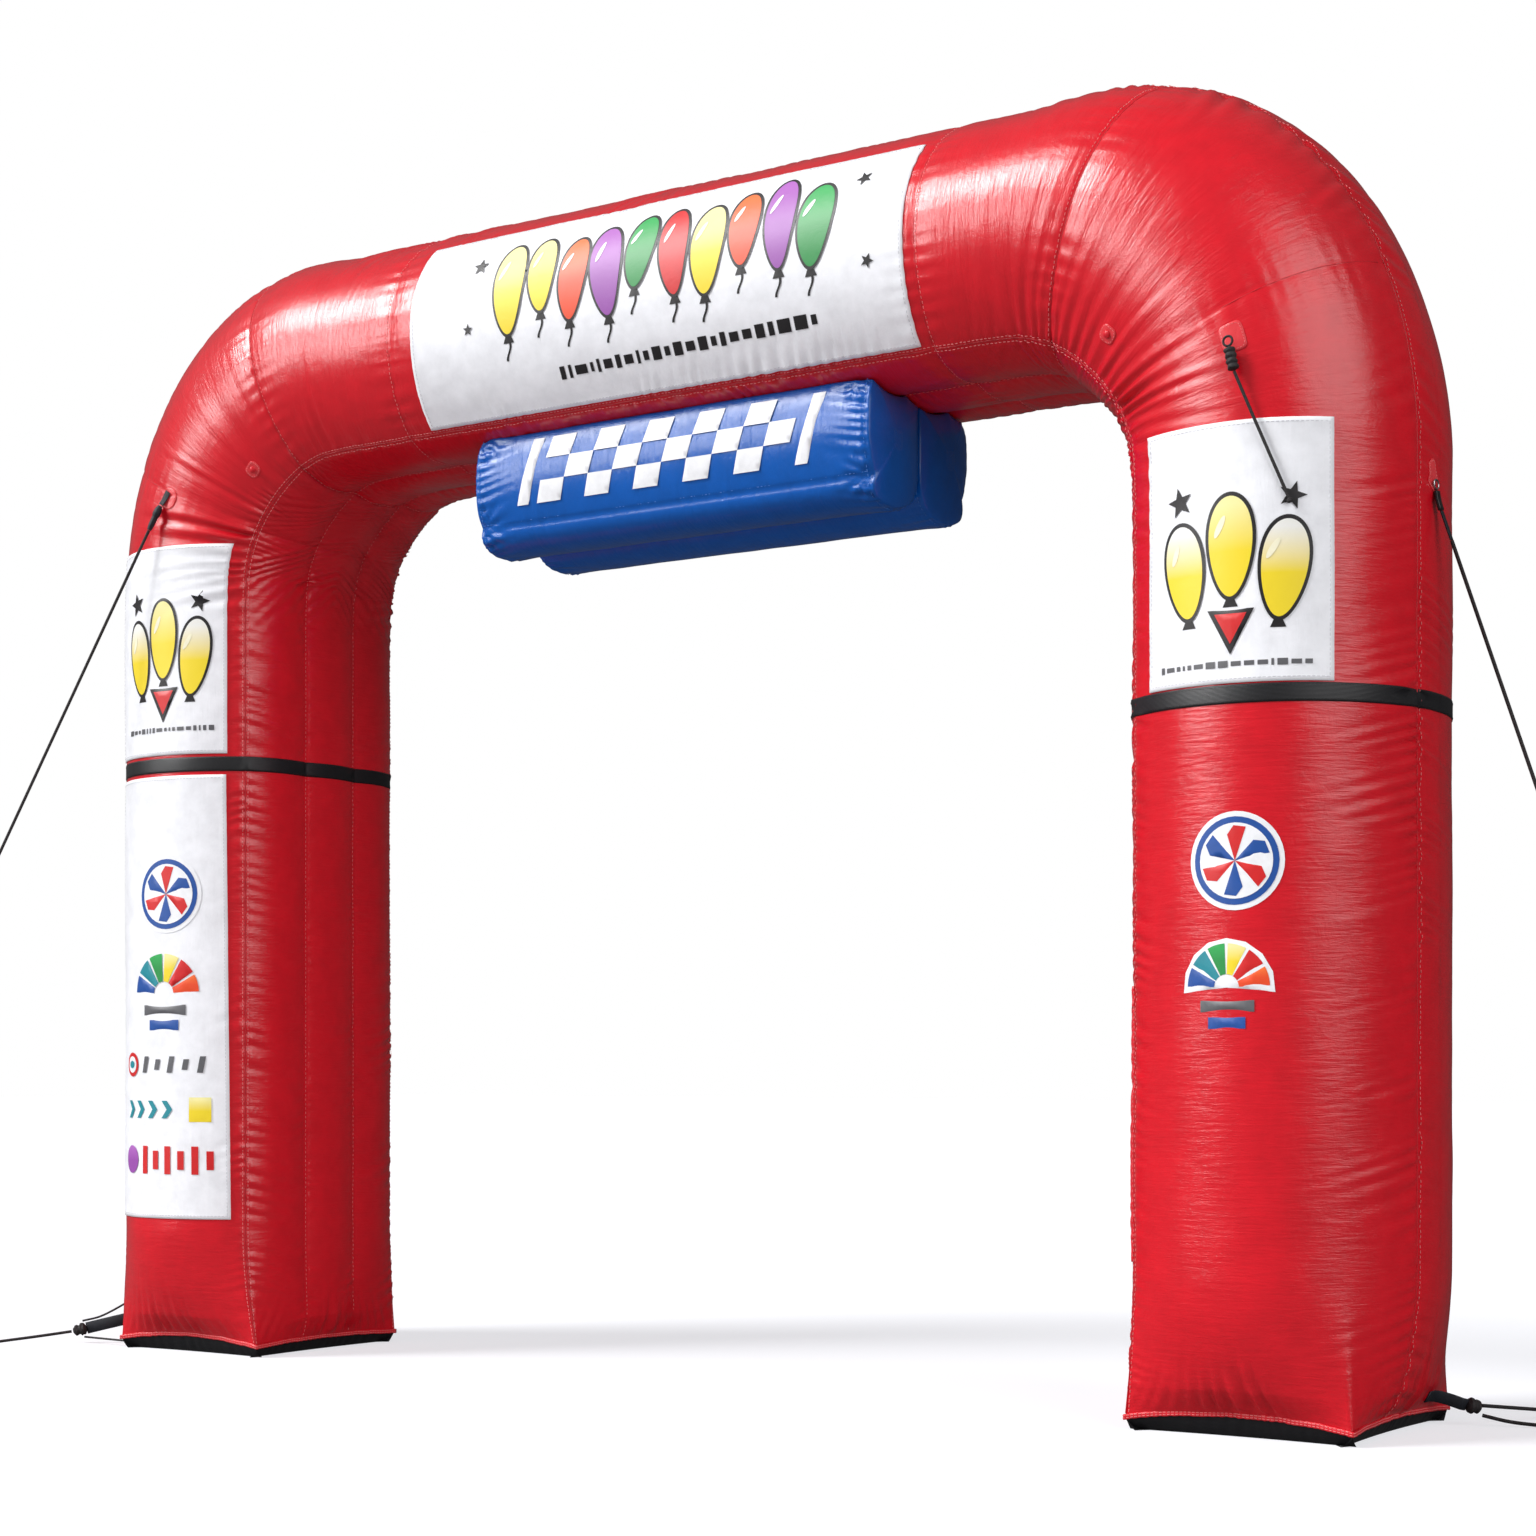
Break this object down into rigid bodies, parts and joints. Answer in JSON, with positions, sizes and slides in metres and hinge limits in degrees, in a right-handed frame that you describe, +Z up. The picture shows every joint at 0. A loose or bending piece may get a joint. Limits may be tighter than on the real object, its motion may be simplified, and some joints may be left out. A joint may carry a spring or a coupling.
{
  "type": "inflatable arch",
  "caption": "Inflatable arch in glossy red coated fabric with white banners, a blue hanging sign, black bands, stitched base panels and guy ropes.",
  "frame": {"origin": "middle of the two bases on the floor, under the middle of the arch", "axes": "+Z up, +X along the beam, -Y is the front with the banners"},
  "size_m": [6.8349, 1.6841, 4.7133],
  "materials": {
    "red_coated_fabric": "glossy",
    "red_trim": "satin",
    "white_fabric": "satin",
    "black_webbing": "matte",
    "black_base_fabric": "matte",
    "blue_fabric": "glossy",
    "black_rope": "matte",
    "buckle_metal": "satin"
  },
  "bodies": {
    "root": {"arch_tube": "red_coated_fabric", "base_binding_left": "red_trim", "base_binding_right": "red_trim", "zip_cover": "red_trim", "zip_patch_top": "red_trim", "zip_patch_bottom": "red_trim", "patch_button_left": "red_trim", "patch_button_right": "red_trim", "button_left": "red_trim", "button_right": "red_trim", "patch_rope_left": "red_trim", "patch_rope_front_right": "red_trim", "patch_rope_outer_right": "red_trim", "banner_beam": "white_fabric", "banner_leg_right": "white_fabric", "banner_leg_left_upper": "white_fabric", "banner_leg_left_lower": "white_fabric", "band_left": "black_webbing", "band_right": "black_webbing", "webbing_left": "black_webbing", "strap_outer_right": "black_webbing", "strap_base_left": "black_webbing", "strap_base_right": "black_webbing", "base_panel_left": "black_base_fabric", "base_panel_right": "black_base_fabric", "sign_front": "blue_fabric", "sign_back": "blue_fabric", "lashing_left": "black_rope", "lashing_front_right": "black_rope", "knot_base_left": "black_rope", "knot_base_right": "black_rope", "knot_front_right_end": "black_rope", "rope_left": "black_rope", "rope_front_right": "black_rope", "rope_outer_right": "black_rope", "rope_base_left": "black_rope", "rope_base_right_upper": "black_rope", "rope_base_right_lower": "black_rope", "cord_base_left_upper": "black_rope", "cord_base_left_lower": "black_rope", "eye_left": "black_rope", "eye_outer_right": "black_rope", "eye_base_left": "black_rope", "eye_base_right_upper": "black_rope", "eye_base_right_lower": "black_rope", "loop_front_right": "black_rope", "loop_outer_right": "black_rope", "buckle_outer_right": "buckle_metal"}
  },
  "joints": []
}
